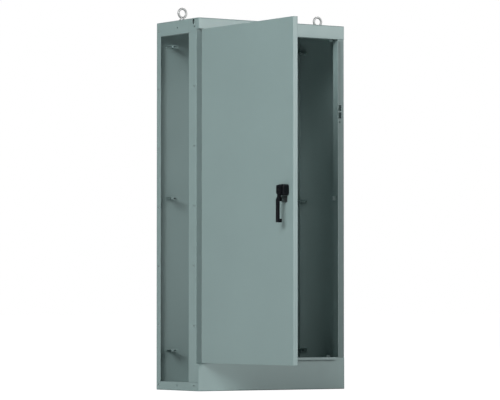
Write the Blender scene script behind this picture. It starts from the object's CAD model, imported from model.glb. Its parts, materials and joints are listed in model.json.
"""Looks for the free-standing disconnect enclosure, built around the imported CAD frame. Metres."""
import json
import math

import bmesh
import bpy
from mathutils import Matrix, Vector

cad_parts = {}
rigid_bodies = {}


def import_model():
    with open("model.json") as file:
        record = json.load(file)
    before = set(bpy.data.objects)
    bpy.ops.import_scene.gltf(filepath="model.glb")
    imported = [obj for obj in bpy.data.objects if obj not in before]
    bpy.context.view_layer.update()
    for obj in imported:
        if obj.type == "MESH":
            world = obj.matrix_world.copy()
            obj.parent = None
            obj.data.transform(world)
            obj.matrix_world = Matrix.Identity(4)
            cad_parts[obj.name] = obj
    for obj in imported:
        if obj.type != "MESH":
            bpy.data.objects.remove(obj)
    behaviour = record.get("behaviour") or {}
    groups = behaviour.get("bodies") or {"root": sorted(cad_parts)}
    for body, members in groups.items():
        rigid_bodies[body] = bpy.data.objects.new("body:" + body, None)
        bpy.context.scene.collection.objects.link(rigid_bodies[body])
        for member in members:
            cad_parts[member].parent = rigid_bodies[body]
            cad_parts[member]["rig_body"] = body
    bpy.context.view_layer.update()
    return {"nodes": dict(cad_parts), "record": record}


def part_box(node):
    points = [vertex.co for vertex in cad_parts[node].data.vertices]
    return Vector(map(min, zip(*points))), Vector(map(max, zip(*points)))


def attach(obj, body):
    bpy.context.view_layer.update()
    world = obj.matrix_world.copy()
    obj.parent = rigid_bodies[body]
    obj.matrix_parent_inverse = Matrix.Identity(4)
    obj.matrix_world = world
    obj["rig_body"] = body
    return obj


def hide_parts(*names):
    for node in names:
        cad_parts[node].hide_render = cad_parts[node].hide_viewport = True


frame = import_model()
MM = 0.001

# ---- facts read from the frame --------------------------------------------------------------------------
SLOT_OF = {entry["node"]: entry["material_slot"] for entry in frame["record"]["subparts"]}
BODY_OF = {name: obj["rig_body"] for name, obj in frame["nodes"].items()}
CABINET_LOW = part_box("floor_pan")[0]
CABINET_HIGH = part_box("roof")[1]

# ---- sheet metal ----------------------------------------------------------------------------------------
SHEET = 2.7 * MM
THIN_SHEET = {"door_shell": 2.0 * MM, "door_stiffener_hinge": 1.5 * MM, "door_stiffener_latch": 1.5 * MM}
CORNER_R = 2.5 * MM        # ground weld along the cabinet's outer edges
BEND_SHARE = 0.95          # outside radius of a bend as a share of the sheet
INSIDE_BEND_R = 0.8 * MM
CUT_R = 0.35 * MM
OUTER_TOLERANCE = 3.5 * MM  # how far from an outer plane a face still counts as outer
CUT_SHARE = 1.6            # a face narrower than this many sheets is a cut edge
CREASE = math.radians(25)  # sharper edges are rounded
FLAT_COSINE = 0.99996      # faces whose normals agree this well are one flat region
FLAT_ANGLE = math.radians(0.5)
WELD_DISTANCE = 0.01 * MM


# ---- node material helpers ------------------------------------------------------------------------------
TONE_STOPS = (0.3, 0.7)    # noise levels that get the darkest and the lightest tone


class Nodes:
    """Short way to write a shader's node tree."""

    def __init__(self, name):
        self.material = bpy.data.materials.new(name)
        self.material.use_nodes = True
        self.tree = self.material.node_tree
        self.shader = self.tree.nodes["Principled BSDF"]

    def add(self, kind, **inputs):
        """New node with constants on its inputs."""
        node = self.tree.nodes.new(kind)
        for key, value in inputs.items():
            node.inputs[key].default_value = value
        return node

    def link(self, source, target):
        """Wire from an output to an input."""
        self.tree.links.new(source, target)

    def set(self, **values):
        """Constants on the shader's own sockets."""
        for key, value in values.items():
            self.shader.inputs[key.replace("_", " ")].default_value = value

    def where(self, stretch=None):
        """Object coordinates, stretched if asked."""
        place = self.add("ShaderNodeTexCoord").outputs["Object"]
        if stretch is None:
            return place
        mapping = self.add("ShaderNodeMapping", Scale=stretch)
        self.link(place, mapping.inputs["Vector"])
        return mapping.outputs["Vector"]

    def noise(self, scale, detail=3.0, roughness=0.5, stretch=None):
        """Noise from 0 to 1 over the piece's own coordinates."""
        node = self.add("ShaderNodeTexNoise", Scale=scale, Detail=detail, Roughness=roughness)
        self.link(self.where(stretch), node.inputs["Vector"])
        return node.outputs["Fac"]

    def cells(self, scale):
        """Distance to the middle of a foam cell."""
        node = self.add("ShaderNodeTexVoronoi", Scale=scale)
        self.link(self.where(), node.inputs["Vector"])
        return node.outputs["Distance"]

    def ramp(self, value, stops):
        """Colour ramp from a list of (place, colour)."""
        node = self.add("ShaderNodeValToRGB")
        self.link(value, node.inputs["Fac"])
        elements = node.color_ramp.elements
        elements[0].position, elements[0].color = stops[0][0], (*stops[0][1], 1)
        elements[1].position, elements[1].color = stops[-1][0], (*stops[-1][1], 1)
        for place, colour in stops[1:-1]:
            element = elements.new(place)
            element.color = (*colour, 1)
        return node.outputs["Color"]

    def tones(self, value, tone, share):
        """Colour that wanders around one tone by a share of it."""
        dark = tuple(part * (1 - share) for part in tone)
        light = tuple(min(part * (1 + share), 1) for part in tone)
        return self.ramp(value, tuple(zip(TONE_STOPS, (dark, light))))

    def spread(self, value, low, high):
        """Value from 0 to 1 stretched from low to high."""
        node = self.add("ShaderNodeMapRange")
        node.inputs["To Min"].default_value = low
        node.inputs["To Max"].default_value = high
        self.link(value, node.inputs["Value"])
        return node.outputs["Result"]

    def bump(self, height, distance, strength=1.0, below=None):
        """Relief of a real height, on top of another relief if one is given."""
        node = self.add("ShaderNodeBump", Strength=strength, Distance=distance)
        self.link(height, node.inputs["Height"])
        if below is not None:
            self.link(below, node.inputs["Normal"])
        return node.outputs["Normal"]

    def finish(self, colour, roughness, normal=None):
        """Links the textures to the shader and returns the material."""
        self.link(colour, self.shader.inputs["Base Color"])
        self.link(roughness, self.shader.inputs["Roughness"])
        if normal is not None:
            self.link(normal, self.shader.inputs["Normal"])
        return self.material


# ---- materials ------------------------------------------------------------------------------------------
DULL_SPANGLE = 0.93        # tone of the duller spangles as a share of the bright ones


def powder_coat(name, tone):
    """Semi-gloss powder coat: orange peel, fine grain and a slight wave in the sheet under it."""
    n = Nodes(name)
    colour = n.tones(n.noise(scale=2.5), tone, share=0.02)
    rough = n.spread(n.noise(scale=9.0), low=0.36, high=0.46)
    wave = n.bump(n.noise(scale=4.0, detail=1.0), distance=0.5 * MM, strength=0.2)
    peel = n.bump(n.noise(scale=380.0, detail=2.0), distance=0.12 * MM, strength=0.35, below=wave)
    grain = n.bump(n.noise(scale=1900.0, detail=1.0), distance=0.02 * MM, strength=0.3, below=peel)
    n.set(IOR=1.5)
    return n.finish(colour, rough, grain)


def plated(name, light, dark, rough):
    """Electroplated steel with spangles of slightly different tone and fine handling marks."""
    n = Nodes(name)
    dull = tuple(part * DULL_SPANGLE for part in light)
    spangles = n.noise(scale=90.0, detail=4.0, roughness=0.6)
    colour = n.ramp(spangles, ((0.3, dark), (0.5, light), (0.75, dull)))
    marks = n.noise(scale=40.0, detail=5.0, roughness=0.7, stretch=(1.0, 1.0, 9.0))
    n.set(Metallic=1.0)
    worn = n.spread(marks, low=0.75 * rough, high=1.3 * rough)
    return n.finish(colour, worn, n.bump(marks, distance=0.05 * MM, strength=0.3))


def brushed_steel(name, tone):
    """Hinge steel, drawn along its length."""
    n = Nodes(name)
    lines = n.noise(scale=900.0, detail=2.0, roughness=0.6, stretch=(1.0, 1.0, 0.01))
    colour = n.tones(n.noise(scale=25.0), tone, share=0.1)
    n.set(Metallic=1.0)
    drawn = n.spread(lines, low=0.3, high=0.5)
    return n.finish(colour, drawn, n.bump(lines, distance=0.04 * MM, strength=0.4))


def forged_steel(name, tone):
    """Drop-forged and plated: dull, with scale pits."""
    n = Nodes(name)
    colour = n.tones(n.noise(scale=120.0, detail=5.0, roughness=0.65), tone, share=0.18)
    pits = n.bump(n.noise(scale=260.0, detail=4.0, roughness=0.6), distance=0.25 * MM, strength=0.5)
    n.set(Metallic=0.85)
    return n.finish(colour, n.spread(n.noise(scale=60.0), low=0.38, high=0.6), pits)


def textured_black(name, tone, grain, rough, shine):
    """Black moulding or die-casting with a fine leather grain."""
    n = Nodes(name)
    colour = n.tones(n.noise(scale=60.0), tone, share=0.25)
    skin = n.bump(n.noise(scale=grain, detail=2.0), distance=0.08 * MM, strength=0.45)
    n.set(Specular_IOR_Level=shine)
    worn = n.spread(n.noise(scale=140.0), low=0.85 * rough, high=1.15 * rough)
    return n.finish(colour, worn, skin)


def turned_metal(name, tone):
    """Lock plug: fine turned rings dulled by use."""
    n = Nodes(name)
    rings = n.noise(scale=2500.0, detail=2.0, stretch=(0.05, 1.0, 1.0))
    colour = n.tones(n.noise(scale=200.0), tone, share=0.12)
    n.set(Metallic=1.0)
    worn = n.spread(rings, low=0.3, high=0.45)
    return n.finish(colour, worn, n.bump(rings, distance=0.03 * MM, strength=0.3))


def closed_foam(name, tone):
    """Foam gasket with a fine open skin."""
    n = Nodes(name)
    pores = n.cells(scale=900.0)
    colour = n.tones(n.noise(scale=150.0), tone, share=0.3)
    n.set(IOR=1.4)
    dull = n.spread(n.noise(scale=80.0), low=0.85, high=0.97)
    return n.finish(colour, dull, n.bump(pores, distance=0.3 * MM, strength=0.5))


def nylon(name, tone):
    """Turned nylon, lightly marked by the tool."""
    n = Nodes(name)
    colour = n.tones(n.noise(scale=70.0), tone, share=0.05)
    turned = n.bump(n.noise(scale=700.0, detail=2.0), distance=0.03 * MM, strength=0.3)
    n.set(IOR=1.53)
    return n.finish(colour, n.spread(n.noise(scale=90.0), low=0.42, high=0.55), turned)


PAINT = (0.230, 0.313, 0.308)
HANDLE_TONE = (0.0025, 0.0035, 0.0055)
POCKET_TONE = (0.045, 0.048, 0.05)
MATERIALS = {
    "enclosure_paint": powder_coat("grey_green_paint", PAINT),
    "zinc_steel": plated("zinc_plate", light=(0.55, 0.56, 0.56), dark=(0.44, 0.45, 0.46), rough=0.34),
    "hinge_steel": brushed_steel("hinge_steel", (0.36, 0.38, 0.39)),
    "eyebolt_steel": forged_steel("forged_steel", (0.42, 0.43, 0.43)),
    "handle_black": textured_black("black_diecast", HANDLE_TONE, grain=900.0, rough=0.4, shine=0.22),
    "lock_metal": turned_metal("lock_metal", (0.05, 0.05, 0.052)),
    "gasket_foam": closed_foam("gasket_foam", (0.022, 0.022, 0.024)),
    "pocket_plastic": textured_black("pocket_plastic", POCKET_TONE, grain=1200.0, rough=0.5, shine=0.5),
    "roller_nylon": nylon("roller_nylon", (0.76, 0.74, 0.69)),
    "ground_copper": plated("plated_stud", light=(0.62, 0.50, 0.30), dark=(0.50, 0.38, 0.22), rough=0.32),
}
HASP_STEEL = plated("dark_zinc_plate", light=(0.12, 0.135, 0.135), dark=(0.08, 0.09, 0.09), rough=0.42)


# ---- making pieces --------------------------------------------------------------------------------------
def piece_from(name, bm, *nodes, body=None, slot=None, material=None):
    """Object from a bmesh that stands for CAD nodes, or is new on the body and slot named."""
    mesh = bpy.data.meshes.new(name)
    bm.to_mesh(mesh)
    bm.free()
    piece = bpy.data.objects.new(name, mesh)
    bpy.context.collection.objects.link(piece)
    slot = slot or SLOT_OF[nodes[0]]
    mesh.materials.append(material or MATERIALS[slot])
    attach(piece, body or BODY_OF[nodes[0]])
    if nodes:
        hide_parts(*nodes)
    return piece


def applied(piece):
    """Bakes the piece's modifiers into its mesh."""
    bpy.context.view_layer.update()
    graph = bpy.context.evaluated_depsgraph_get()
    mesh = bpy.data.meshes.new_from_object(piece.evaluated_get(graph))
    piece.modifiers.clear()
    piece.data = mesh
    return piece


def cad_copy(node):
    """Welded copy of a CAD node's mesh with its flat faces whole."""
    bm = bmesh.new()
    bm.from_mesh(frame["nodes"][node].data)
    bmesh.ops.remove_doubles(bm, verts=bm.verts, dist=WELD_DISTANCE)
    bmesh.ops.dissolve_limit(bm, angle_limit=FLAT_ANGLE, verts=bm.verts, edges=bm.edges)
    bm.normal_update()
    return bm


def flat_regions(bm):
    """For each face, the corner points of the whole flat region that it is in."""
    region = {}
    for seed in bm.faces:
        if seed in region:
            continue
        points = []
        region[seed] = points
        waiting = [seed]
        while waiting:
            face = waiting.pop()
            points.extend(vert.co for vert in face.verts)
            for other in (other for edge in face.edges for other in edge.link_faces):
                if other not in region and other.normal.dot(seed.normal) > FLAT_COSINE:
                    region[other] = points
                    waiting.append(other)
    return region


def width_across(points, normal, edge):
    """How far a flat region reaches away from one of its edges."""
    start = edge.verts[0].co
    along = (edge.verts[1].co - start).normalized()
    away = normal.cross(along)
    return max(abs((point - start).dot(away)) for point in points)


def on_outside(face):
    """True where the face lies in one of the cabinet's outer planes."""
    centre = face.calc_center_median()
    for axis in range(3):
        if face.normal[axis] > FLAT_COSINE:
            return abs(CABINET_HIGH[axis] - centre[axis]) < OUTER_TOLERANCE
        if face.normal[axis] < -FLAT_COSINE:
            return abs(CABINET_LOW[axis] - centre[axis]) < OUTER_TOLERANCE
    return False


def sheet_radius(edge, region, sheet):
    """Radius of a folded sheet's edge: outer corner, bend, flush seam or cut edge."""
    faces = edge.link_faces
    outside = [on_outside(face) for face in faces]
    if all(outside):
        return CORNER_R
    if min(width_across(region[face], face.normal, edge) for face in faces) > CUT_SHARE * sheet:
        return BEND_SHARE * sheet if edge.is_convex else INSIDE_BEND_R
    return 0.0 if any(outside) else CUT_R


def round_edges(bm, radius_of):
    """Writes each edge's share of the largest radius as its bevel weight, and returns that radius."""
    layer = bm.edges.layers.float.new("bevel_weight_edge")
    radii = {}
    for edge in bm.edges:
        edge.smooth = True
        if len(edge.link_faces) == 2 and edge.calc_face_angle(0) > CREASE:
            radii[edge] = radius_of(edge)
            edge.smooth = radii[edge] > 0
    largest = max(radii.values(), default=0.0)
    for edge, radius in radii.items():
        edge[layer] = radius / largest if largest else 0.0
    return largest


def flat_shaded(piece):
    """Shading that keeps the flat faces flat."""
    shading = piece.modifiers.new("flat_faces", "WEIGHTED_NORMAL")
    shading.keep_sharp = True
    return applied(piece)


def rounded(piece, width, segments):
    """Bevel by weight."""
    if width > 0:
        bevel = piece.modifiers.new("rounded_edges", "BEVEL")
        bevel.limit_method = "WEIGHT"
        bevel.width = width
        bevel.segments = segments
        bevel.use_clamp_overlap = False
        bevel.harden_normals = False
    return flat_shaded(piece)


def refine(node, radius=None, segments=3, material=None):
    """Copy of a CAD node with rounded edges: one radius all over, or the sheet metal rule."""
    bm = cad_copy(node)
    for face in bm.faces:
        face.smooth = True
    if radius is None:
        region = flat_regions(bm)
        sheet = THIN_SHEET.get(node, SHEET)
        largest = round_edges(bm, lambda edge: sheet_radius(edge, region, sheet))
    else:
        largest = round_edges(bm, lambda edge: radius)
    piece = piece_from(f"{node}_finished", bm, node, material=material)
    return rounded(piece, largest, segments)


SOFTENING = 0.5            # how far one pass moves a point to its neighbours' middle


def cast(node, voxel, passes, reshape=None):
    """Copy of a CAD node melted into one skin with soft transitions, as a casting or forging has."""
    bm = cad_copy(node)
    piece = piece_from(f"{node}_cast", bm, node)
    remesh = piece.modifiers.new("skin", "REMESH")
    remesh.mode = "VOXEL"
    remesh.voxel_size = voxel
    remesh.use_smooth_shade = True
    smooth = piece.modifiers.new("soften", "SMOOTH")
    smooth.iterations = passes
    smooth.factor = SOFTENING
    applied(piece)
    if reshape:
        for vert in piece.data.vertices:
            vert.co = reshape(vert.co)
    return piece


TURNED_STEPS = 48


def ring_points(radius, steps):
    """Points of a circle, as (u, v)."""
    turns = [math.tau * k / steps for k in range(steps)]
    return [(radius * math.cos(turn), radius * math.sin(turn)) for turn in turns]


def loft(bm, rings, matrix, closed=True):
    """Skin over rings of points, each a list of (u, v, w), moved by the matrix."""
    rows = [[bm.verts.new(matrix @ Vector(point)) for point in ring] for ring in rings]
    count = len(rows[0])
    for lower, upper in zip(rows, rows[1:]):
        for k in range(count):
            bm.faces.new((lower[k], lower[(k + 1) % count], upper[(k + 1) % count], upper[k]))
    if closed:
        bm.faces.new(list(reversed(rows[0])))
        bm.faces.new(rows[-1])
    for face in bm.faces:
        face.smooth = True
    return rows


def lathe(bm, profile, matrix, steps=TURNED_STEPS, closed=True):
    """Turned shape: profile is a list of (radius, height)."""
    rings = [[(u, v, height) for u, v in ring_points(radius, steps)] for radius, height in profile]
    return loft(bm, rings, matrix, closed)


def turned_ring(bm, profile, matrix, steps=TURNED_STEPS):
    """Turned shape with a hole: profile is a closed loop of (radius, height)."""
    rows = lathe(bm, profile, matrix, steps, closed=False)
    first, last = rows[0], rows[-1]
    for k in range(steps):
        bm.faces.new((last[k], last[(k + 1) % steps], first[(k + 1) % steps], first[k]))
    for face in bm.faces:
        face.smooth = True
    return rows


# ---- directions at rest ---------------------------------------------------------------------------------
UP = Vector((0, 0, 1))
ACROSS_AXIS, UP_AXIS = 0, 2


def axes(right, up, out):
    """Matrix whose local u, v and w run along right, up and out."""
    return Matrix((right, up, out)).transposed().to_4x4()


DOOR_INSIDE = axes(Vector((0, 1, 0)), UP, Vector((1, 0, 0)))


def at(place, turn):
    """Matrix that turns a shape, then moves it to the place."""
    return Matrix.Translation(place) @ turn


def middle(node):
    """Middle of a CAD node's box."""
    low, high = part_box(node)
    return (low + high) / 2


# ---- painted sheet metal --------------------------------------------------------------------------------
for node, slot in SLOT_OF.items():
    if slot == "enclosure_paint":
        refine(node)

# ---- plated and steel hardware --------------------------------------------------------------------------
HARDWARE_R = {
    "joining_washers": 0.6 * MM, "eyebolt_washers": 0.5 * MM, "rod_guides": 0.5 * MM, "upper_rod": 0.7 * MM,
    "lower_rod": 0.7 * MM, "latch_cam": 0.6 * MM, "cam_pins": 0.4 * MM, "spindle": 0.6 * MM,
    "upper_roller_pin": 0.5 * MM, "lower_roller_pin": 0.5 * MM, "hinge_fixed_leaf": 0.3 * MM,
    "hinge_door_leaf": 0.3 * MM, "hinge_pin": 0.6 * MM,
}
for node, radius in HARDWARE_R.items():
    refine(node, radius, segments=2)
refine("padlock_hasp", 0.8 * MM, material=HASP_STEEL)
refine("key_cylinder", 0.5 * MM)

# ---- forged and cast pieces -----------------------------------------------------------------------------
LEVER_LOW, LEVER_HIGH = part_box("handle_lever")
LEVER_MIDDLE_Y = (LEVER_LOW.y + LEVER_HIGH.y) / 2
GRIP_WAIST = 0.10          # share of its width that the grip loses in the middle
GRIP_SHARE = 0.62          # share of the lever's height that is grip


def waisted(point):
    """Draws the grip in a little between its ends."""
    along = (point.z - LEVER_LOW.z) / (GRIP_SHARE * (LEVER_HIGH.z - LEVER_LOW.z))
    if not 0 < along < 1:
        return point
    squeeze = 1 - GRIP_WAIST * math.sin(math.pi * along) ** 2
    return Vector((point.x, LEVER_MIDDLE_Y + (point.y - LEVER_MIDDLE_Y) * squeeze, point.z))


for node in ("eyebolt_left", "eyebolt_right"):
    cast(node, voxel=1.1 * MM, passes=5)
cast("handle_base", voxel=1.0 * MM, passes=4)
cast("handle_lever", voxel=0.9 * MM, passes=5, reshape=waisted)


# ---- foam gasket ----------------------------------------------------------------------------------------
GASKET_WIDE = 12.7 * MM
GASKET_CORNER_R = 14 * MM
GASKET_CORNER_STEPS = 8
GASKET_SHOULDER = 0.5      # share of its height where the crown starts
GASKET_CROWN_STEPS = 10


def rounded_loop(half_wide, half_tall, corner, steps):
    """Closed path around a rectangle with round corners, as (u, v, direction angle)."""
    path = []
    for quarter, (u, v) in enumerate(((1, 1), (-1, 1), (-1, -1), (1, -1))):
        for step in range(steps + 1):
            angle = math.pi / 2 * (quarter + step / steps)
            centre_u, centre_v = u * (half_wide - corner), v * (half_tall - corner)
            path.append((centre_u + corner * math.cos(angle), centre_v + corner * math.sin(angle), angle))
    return path


def crowned_profile(half, height):
    """Foam strip's section as (outward, up): flat foot, short sides and a round crown."""
    shoulder = height * GASKET_SHOULDER
    crown = height - shoulder
    angles = [math.pi * step / GASKET_CROWN_STEPS for step in range(GASKET_CROWN_STEPS + 1)]
    arch = [(half * math.cos(angle), shoulder + crown * math.sin(angle)) for angle in angles]
    return [(-half, 0.0), (half, 0.0), *arch]


def foam_gasket():
    """Closed loop of foam strip inside the door's edge."""
    low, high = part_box("door_gasket")
    half = GASKET_WIDE / 2
    half_wide, half_tall = (high.y - low.y) / 2 - half, (high.z - low.z) / 2 - half
    rings = []
    for u, v, angle in rounded_loop(half_wide, half_tall, GASKET_CORNER_R, GASKET_CORNER_STEPS):
        profile = crowned_profile(half, high.x - low.x)
        rings.append([(u + out * math.cos(angle), v + out * math.sin(angle), up) for out, up in profile])
    centre = Vector((low.x, (low.y + high.y) / 2, (low.z + high.z) / 2))
    bm = bmesh.new()
    loft(bm, [*rings, rings[0]], at(centre, DOOR_INSIDE), closed=False)
    bmesh.ops.remove_doubles(bm, verts=bm.verts, dist=WELD_DISTANCE)
    bmesh.ops.recalc_face_normals(bm, faces=bm.faces)
    piece_from("door_gasket_foam", bm, "door_gasket")


foam_gasket()


# ---- cutting helpers ------------------------------------------------------------------------------------
def carve(piece, bm, operation="DIFFERENCE"):
    """Cuts a piece with a closed bmesh, or keeps only what is inside it."""
    mesh = bpy.data.meshes.new("cutter")
    bm.to_mesh(mesh)
    bm.free()
    cutter = bpy.data.objects.new("cutter", mesh)
    bpy.context.collection.objects.link(cutter)
    boolean = piece.modifiers.new("carve", "BOOLEAN")
    boolean.operation = operation
    boolean.object = cutter
    boolean.solver = "EXACT"
    applied(piece)
    bpy.data.objects.remove(cutter)
    return piece


def edge_round(piece, width, segments):
    """Even rounding of every edge sharper than a crease."""
    bevel = piece.modifiers.new("rounded_edges", "BEVEL")
    bevel.limit_method = "ANGLE"
    bevel.angle_limit = CREASE
    bevel.width = width
    bevel.segments = segments
    for polygon in piece.data.polygons:
        polygon.use_smooth = True
    return flat_shaded(piece)


# ---- document pocket ------------------------------------------------------------------------------------
POCKET_THUMB_R = 42 * MM
POCKET_EDGE_R = 1.1 * MM
POCKET_FRONT_WALL = 4 * MM


def document_pocket():
    """Moulded pocket with rounded edges and a thumb notch in its front wall."""
    low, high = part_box("data_pocket")
    pocket = piece_from("document_pocket", cad_copy("data_pocket"), "data_pocket")
    notch = bmesh.new()
    place = Vector((high.x - POCKET_FRONT_WALL, (low.y + high.y) / 2, high.z))
    lathe(notch, ((POCKET_THUMB_R, 0.0), (POCKET_THUMB_R, 2 * POCKET_FRONT_WALL)), at(place, DOOR_INSIDE))
    edge_round(carve(pocket, notch), POCKET_EDGE_R, segments=3)


document_pocket()

# ---- threaded studs, nuts and screws --------------------------------------------------------------------
THREAD_STEPS = 24
THREAD_ROWS = 6            # rings of points to one pitch
THREAD_PITCH = 1.5 * MM
THREAD_DEPTH = 0.55 * MM
STUD_R = 5 * MM
STUD_CHAMFER = 1.0 * MM
STUD_NUT_FLATS = 17 * MM
STUD_NUT_THICK = 8 * MM
EYEBOLT_NUT_FLATS = 24 * MM
EYEBOLT_NUT_BORE_R = 8.1 * MM
NUT_EDGE_R = 0.3 * MM
NUT_CORNER_SHARE = 1.02    # widest part of the chamfer cone as a share of the corner radius
NUT_FACE_SHARE = 0.97      # end of the chamfer cone as a share of the flat's radius
NUT_CHAMFER = math.radians(30)
CHAMFER_STEPS = 64
HEXAGON_SIDES = 6


def threaded_stud(bm, radius, length, matrix):
    """Stud with a helical thread and a chamfered tip, along local w."""
    rows = round(length / THREAD_PITCH * THREAD_ROWS)
    rings = []
    for row in range(rows + 1):
        height = length * row / rows
        tip = max(0.0, height - (length - STUD_CHAMFER))
        ring = []
        for step in range(THREAD_STEPS):
            turn = step / THREAD_STEPS
            phase = (height / THREAD_PITCH - turn) % 1
            groove = THREAD_DEPTH * (1 - abs(2 * phase - 1))
            reach = min(radius - groove, radius - tip)
            ring.append((reach * math.cos(math.tau * turn), reach * math.sin(math.tau * turn), height))
        rings.append(ring)
    loft(bm, rings, matrix)


def nut_chamfer(bm, flats, thick, matrix):
    """Turned body that takes the corners off a hexagon nut."""
    corner = flats / math.sqrt(3) * NUT_CORNER_SHARE
    face = flats / 2 * NUT_FACE_SHARE
    drop = (corner - face) * math.tan(NUT_CHAMFER)
    profile = ((face, 0.0), (corner, drop), (corner, thick - drop), (face, thick))
    lathe(bm, profile, matrix, CHAMFER_STEPS)


def hexagon(bm, flats, thick, matrix):
    """Hexagonal prism, measured across its flats."""
    ring = ring_points(flats / math.sqrt(3), HEXAGON_SIDES)
    loft(bm, [[(u, v, height) for u, v in ring] for height in (0.0, thick)], matrix)
    for face in bm.faces:
        face.smooth = False


def hex_nut(name, flats, thick, bore, matrix, node, replaces_node=True):
    """Chamfered nut with a bore, along local w."""
    body, chamfer, hole = bmesh.new(), bmesh.new(), bmesh.new()
    hexagon(body, flats, thick, matrix)
    nut_chamfer(chamfer, flats, thick, matrix)
    lathe(hole, ((bore, -MM), (bore, thick + MM)), matrix)
    nodes = (node,) if replaces_node else ()
    nut = piece_from(name, body, *nodes, body=BODY_OF[node], slot=SLOT_OF[node])
    edge_round(carve(carve(nut, chamfer, "INTERSECT"), hole), NUT_EDGE_R, segments=2)


def ground_stud(node, axis, turn):
    """Plated stud with its nut, standing along one of the axes."""
    low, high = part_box(node)
    foot = (low + high) / 2
    foot[axis] = low[axis]
    bm = bmesh.new()
    threaded_stud(bm, STUD_R, high[axis] - low[axis], at(foot, turn))
    piece_from(f"{node}_threaded", bm, node)
    hex_nut(f"{node}_nut", STUD_NUT_FLATS, STUD_NUT_THICK, STUD_R, at(foot, turn), node, replaces_node=False)


def eyebolt_nut(side):
    """Nut on one eyebolt's shank, under the roof."""
    low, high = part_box("eyebolt_nuts")
    centre = middle(f"eyebolt_{side}")
    place = at(Vector((centre.x, centre.y, low.z)), Matrix.Identity(4))
    thick = high.z - low.z
    hex_nut(f"eyebolt_nut_{side}", EYEBOLT_NUT_FLATS, thick, EYEBOLT_NUT_BORE_R, place, "eyebolt_nuts")


ground_stud("cabinet_ground_stud", UP_AXIS, Matrix.Identity(4))
ground_stud("door_ground_stud", ACROSS_AXIS, DOOR_INSIDE)
eyebolt_nut("left")
eyebolt_nut("right")

SCREW_HEAD_R = 5 * MM
SCREW_HEAD_THICK = 3 * MM
SCREW_SHANK_R = 2.4 * MM
SCREW_FLARE = 0.2 * MM     # height of the cone between the shank and the head
SCREW_STEPS = 40
DOME_ANGLES = [math.radians(angle) for angle in (15, 30, 45, 60, 75, 86)]
DOME_FULLNESS = 0.6        # 1 is a round head, and less is a flatter one with fuller shoulders
RECESS = (1.1 * MM, 5.6 * MM, 1.7 * MM)    # wide, long and deep


def pan_head_screw(name, place, shank, node):
    """Pan-head screw with a cross recess. place is under the head, which points into the cabinet."""
    matrix = at(place, DOOR_INSIDE)
    dome = [(SCREW_HEAD_R * math.cos(angle) ** DOME_FULLNESS, SCREW_HEAD_THICK * math.sin(angle))
            for angle in DOME_ANGLES]
    bm = bmesh.new()
    lathe(bm, [(SCREW_SHANK_R, -shank), (SCREW_SHANK_R, -SCREW_FLARE), (SCREW_HEAD_R, 0.0), *dome], matrix,
          SCREW_STEPS)
    screw = piece_from(name, bm, node)
    wide, long, deep = RECESS
    for along, across in ((long, wide), (wide, long)):
        slot = bmesh.new()
        size = Matrix.Diagonal((along, across, 2 * deep, 1))
        top = Matrix.Translation((0, 0, SCREW_HEAD_THICK))
        bmesh.ops.create_cube(slot, size=1, matrix=matrix @ top @ size)
        carve(screw, slot)


def handle_screws():
    """The two screws that hold the handle's base, at opposite corners of their common box."""
    low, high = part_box("handle_screws")
    head_x = high.x - SCREW_HEAD_THICK
    low_place = Vector((head_x, high.y - SCREW_HEAD_R, low.z + SCREW_HEAD_R))
    high_place = Vector((head_x, low.y + SCREW_HEAD_R, high.z - SCREW_HEAD_R))
    for name, place in (("handle_screw_low", low_place), ("handle_screw_high", high_place)):
        pan_head_screw(name, place, head_x - low.x, "handle_screws")


handle_screws()

# ---- latch rollers --------------------------------------------------------------------------------------
ROLLER_BORE_R = 3.05 * MM
ROLLER_RIM = 1.2 * MM
ROLLER_CROWN = 0.35 * MM
RIM_STEPS = 4


def crowned_roller(node):
    """Nylon roller with a crowned tread, rounded rims and a hub bore."""
    low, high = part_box(node)
    radius, wide = (high.z - low.z) / 2, high.y - low.y
    quarter = [math.pi / 2 * step / RIM_STEPS for step in range(RIM_STEPS + 1)]
    tread = radius - ROLLER_CROWN
    near = [(tread - ROLLER_RIM * (1 - math.sin(turn)), ROLLER_RIM * (1 - math.cos(turn)))
            for turn in quarter]
    far = [(reach, wide - height) for reach, height in reversed(near)]
    profile = [(ROLLER_BORE_R, 0.0), *near, (radius, wide / 2), *far, (ROLLER_BORE_R, wide)]
    centre = middle(node)
    place = at(Vector((centre.x, low.y, centre.z)), axes(UP, Vector((1, 0, 0)), Vector((0, 1, 0))))
    bm = bmesh.new()
    turned_ring(bm, profile, place)
    bmesh.ops.recalc_face_normals(bm, faces=bm.faces)
    flat_shaded(piece_from(f"{node}_crowned", bm, node))


crowned_roller("upper_roller")
crowned_roller("lower_roller")

# ---- spot welds on the door's stiffeners ----------------------------------------------------------------
SPOT_R = 3.0 * MM
SPOT_PROUD = 0.25 * MM
SPOT_RIM_R = 0.75 * SPOT_R
SPOT_DENT_R = 0.4 * SPOT_R
SPOT_DENT = 0.1 * MM       # height of the dent's floor above the sheet
SPOT_STEPS = 20
SPOT_INSET = 6.5 * MM
SPOT_PITCH = 125 * MM
SPOT_PROFILE = ((SPOT_R, -SPOT_PROUD), (SPOT_R, 0.0), (SPOT_RIM_R, SPOT_PROUD), (SPOT_DENT_R, SPOT_DENT))


def spot_welds(node):
    """Two rows of shallow weld marks along a stiffener's brims."""
    low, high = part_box(node)
    count = int((high.z - low.z - SPOT_PITCH / 2) / SPOT_PITCH)
    bm = bmesh.new()
    for number in range(count + 1):
        z = low.z + SPOT_PITCH / 2 + number * SPOT_PITCH
        for y in (low.y + SPOT_INSET, high.y - SPOT_INSET):
            place = at(Vector((low.x + THIN_SHEET[node], y, z)), DOOR_INSIDE)
            lathe(bm, SPOT_PROFILE, place, SPOT_STEPS)
    piece_from(f"{node}_spot_welds", bm, body=BODY_OF[node], slot=SLOT_OF[node])


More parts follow.
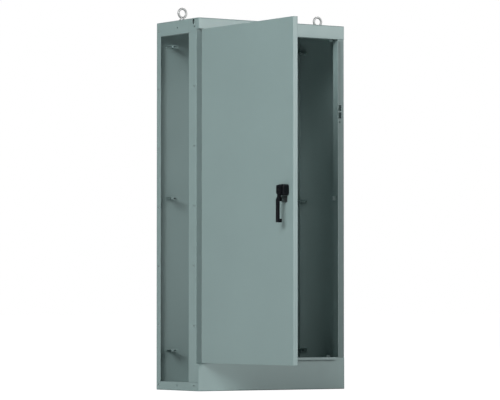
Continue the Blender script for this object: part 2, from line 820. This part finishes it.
spot_welds("door_stiffener_hinge")
spot_welds("door_stiffener_latch")

# ---- stage ----------------------------------------------------------------------------------------------
FLOOR_SIZE = 400
FLOOR_TONE = (0.9, 0.9, 0.9)
FLOOR_GLOW = 1.12
FLOOR_GLOW_SHARE = 0.9     # share of the glow in what the camera sees, and the rest is the lit floor
WORLD_LIGHT = 0.02


def white_floor():
    """Pale floor that the camera sees almost white."""
    bpy.ops.mesh.primitive_plane_add(size=FLOOR_SIZE, location=(0, 0, 0))
    floor = bpy.context.object
    floor.name = "floor"
    n = Nodes("pale_floor")
    colour = n.tones(n.noise(scale=1.0), FLOOR_TONE, share=0.01)
    rough = n.spread(n.noise(scale=2.0), low=0.85, high=0.95)
    n.set(Specular_IOR_Level=0.0)
    floor.data.materials.append(n.finish(colour, rough))
    glow = n.add("ShaderNodeEmission", Color=(1, 1, 1, 1), Strength=FLOOR_GLOW)
    path = n.add("ShaderNodeLightPath")
    share = n.add("ShaderNodeMath")
    share.operation = "MULTIPLY"
    share.inputs[1].default_value = FLOOR_GLOW_SHARE
    mix = n.add("ShaderNodeMixShader")
    n.link(path.outputs["Is Camera Ray"], share.inputs[0])
    n.link(share.outputs["Value"], mix.inputs["Fac"])
    n.link(n.shader.outputs["BSDF"], mix.inputs[1])
    n.link(glow.outputs["Emission"], mix.inputs[2])
    n.link(mix.outputs["Shader"], n.tree.nodes["Material Output"].inputs["Surface"])


def studio_world():
    """White backdrop for the camera. The lamps light the object."""
    world = bpy.data.worlds.new("studio")
    bpy.context.scene.world = world
    world.use_nodes = True
    tree = world.node_tree
    background = tree.nodes["Background"]
    background.inputs["Color"].default_value = (1, 1, 1, 1)
    path = tree.nodes.new("ShaderNodeLightPath")
    level = tree.nodes.new("ShaderNodeMapRange")
    level.inputs["To Min"].default_value = WORLD_LIGHT
    level.inputs["To Max"].default_value = 1.0
    tree.links.new(path.outputs["Is Camera Ray"], level.inputs["Value"])
    tree.links.new(level.outputs["Result"], background.inputs["Strength"])


white_floor()
studio_world()

# ---- camera ---------------------------------------------------------------------------------------------
LENS = 217.15
SENSOR = 36.0
CLIP_END = 500
VIEW_TURN = math.radians(33.605)
VIEW_PITCH = math.radians(2.087)
CAMERA_AT = (-9.773, -14.697, 0.463)
camera = bpy.data.objects.new("camera", bpy.data.cameras.new("camera"))
bpy.context.collection.objects.link(camera)
camera.data.lens = LENS
camera.data.sensor_width = SENSOR
camera.data.clip_end = CLIP_END
camera.location = CAMERA_AT
camera.rotation_euler = (math.pi / 2 + VIEW_PITCH, 0, -VIEW_TURN)
bpy.context.scene.camera = camera
bpy.context.scene.view_settings.view_transform = "Standard"

# ---- light ----------------------------------------------------------------------------------------------
LIGHT_AIM = Vector((0, 0, 1.1))
LAMP_DISTANCE = 16.0
SOFTBOX = 5.0
LOW_SOFTBOX = 3.0


def flagged(light, pieces, state):
    """Flag on a lamp: INCLUDE lights only the pieces, and EXCLUDE lights all but them."""
    receivers = bpy.data.collections.new(f"{light.name}_pieces")
    for piece in pieces:
        receivers.objects.link(bpy.data.objects[piece])
    for row in receivers.collection_objects:
        row.light_linking.link_state = state
    light.light_linking.receiver_collection = receivers


def softbox(name, azimuth, elevation, size, watts):
    """Square softbox that faces the cabinet. Azimuth 0 is in front of it and -90 on its left."""
    turn, rise = math.radians(azimuth), math.radians(elevation)
    data = bpy.data.lights.new(name, "AREA")
    data.shape = "SQUARE"
    data.size = size
    data.energy = watts
    light = bpy.data.objects.new(name, data)
    bpy.context.collection.objects.link(light)
    back = Vector((math.sin(turn) * math.cos(rise), -math.cos(turn) * math.cos(rise), math.sin(rise)))
    light.location = LIGHT_AIM + back * LAMP_DISTANCE
    light.rotation_euler = (-back).to_track_quat("-Z", "Y").to_euler()
    return light


FRONT_PIECES = (
    "front_top_band_finished", "front_bottom_band_finished", "door_shell_finished", "roof_finished",
    "hinge_post_finished", "left_corner_plate_finished", "left_bottom_rail_finished", "eyebolt_left_cast",
    "eyebolt_right_cast", "collar_right_finished", "collar_left_finished", "collar_bottom_finished",
)
FLANGE_PIECES = ("disconnect_flange_finished",)
FAR_WALL = ("right_wall_finished",)
left_key = softbox("left_key", azimuth=-50, elevation=30, size=SOFTBOX, watts=760)
low_key = softbox("low_key", azimuth=-58, elevation=18, size=LOW_SOFTBOX, watts=790)
softbox("side_fill", azimuth=-75, elevation=30, size=SOFTBOX, watts=600)
softbox("front_fill", azimuth=30, elevation=30, size=SOFTBOX, watts=280)
front_accent = softbox("front_accent", azimuth=30, elevation=12, size=SOFTBOX, watts=1000)
flange_accent = softbox("flange_accent", azimuth=30, elevation=12, size=SOFTBOX, watts=340)
softbox("back_fill", azimuth=150, elevation=35, size=SOFTBOX, watts=800)
for lamp in (left_key, low_key):
    flagged(lamp, FAR_WALL, "EXCLUDE")
flagged(front_accent, FRONT_PIECES, "INCLUDE")
flagged(flange_accent, FLANGE_PIECES, "INCLUDE")
